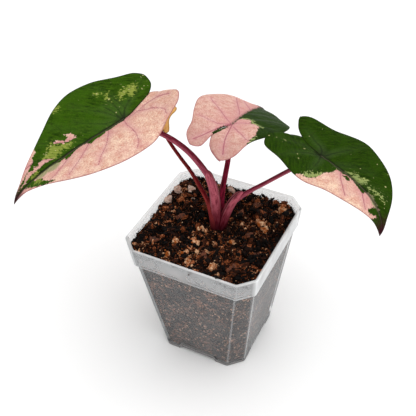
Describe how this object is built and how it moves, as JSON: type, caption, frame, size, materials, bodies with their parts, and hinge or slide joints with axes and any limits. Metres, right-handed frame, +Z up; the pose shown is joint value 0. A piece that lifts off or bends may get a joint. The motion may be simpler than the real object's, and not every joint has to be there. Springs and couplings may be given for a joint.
{
  "type": "potted variegated alocasia",
  "caption": "Young aroid house plant with pink and green arrow-shaped leaves on slim stalks, growing in coarse mix in a square translucent nursery pot.",
  "frame": {"origin": "under the middle of the whole object's box, on the surface that the pot stands on", "axes": "+Z up; the pot's sides lie along X and Y; +X towards the right-hand leaf and -X towards the largest leaf, along the object's longest side"},
  "size_m": [0.1562, 0.1292, 0.1437],
  "materials": {
    "pot_polypropylene": "milky translucent moulding, satin",
    "growing_mix": "loose coir, bark and crumbs, matt and dark with moisture",
    "pumice": "porous, matt",
    "bark": "split bark, matt",
    "leaf_stalk": "smooth living skin, satin, maroon with dark flecks",
    "leaf_blade": "living leaf, dark green and pink sectors, satin with fine quilting",
    "old_leaf": "withering leaf, ochre yellow, satin"
  },
  "bodies": {
    "root": {"pot": "pot_polypropylene", "soil": "growing_mix", "crown": "leaf_stalk", "blade_left": "leaf_blade", "blade_middle": "leaf_blade", "blade_right": "leaf_blade", "blade_old": "old_leaf", "petiole_left": "leaf_stalk", "petiole_middle": "leaf_stalk", "petiole_right": "leaf_stalk", "petiole_old": "leaf_stalk", "pumice_1": "pumice", "pumice_2": "pumice", "pumice_3": "pumice", "pumice_4": "pumice", "pumice_5": "pumice", "pumice_6": "pumice", "pumice_7": "pumice", "pumice_8": "pumice", "pumice_9": "pumice", "pumice_10": "pumice", "pumice_11": "pumice", "pumice_12": "pumice", "pumice_13": "pumice", "pumice_14": "pumice", "bark_chip_1": "bark", "bark_chip_2": "bark", "bark_chip_3": "bark", "bark_chip_4": "bark", "bark_chip_5": "bark", "bark_chip_6": "bark", "bark_chip_7": "bark", "bark_chip_8": "bark", "bark_chip_9": "bark", "bark_chip_10": "bark"}
  },
  "joints": []
}
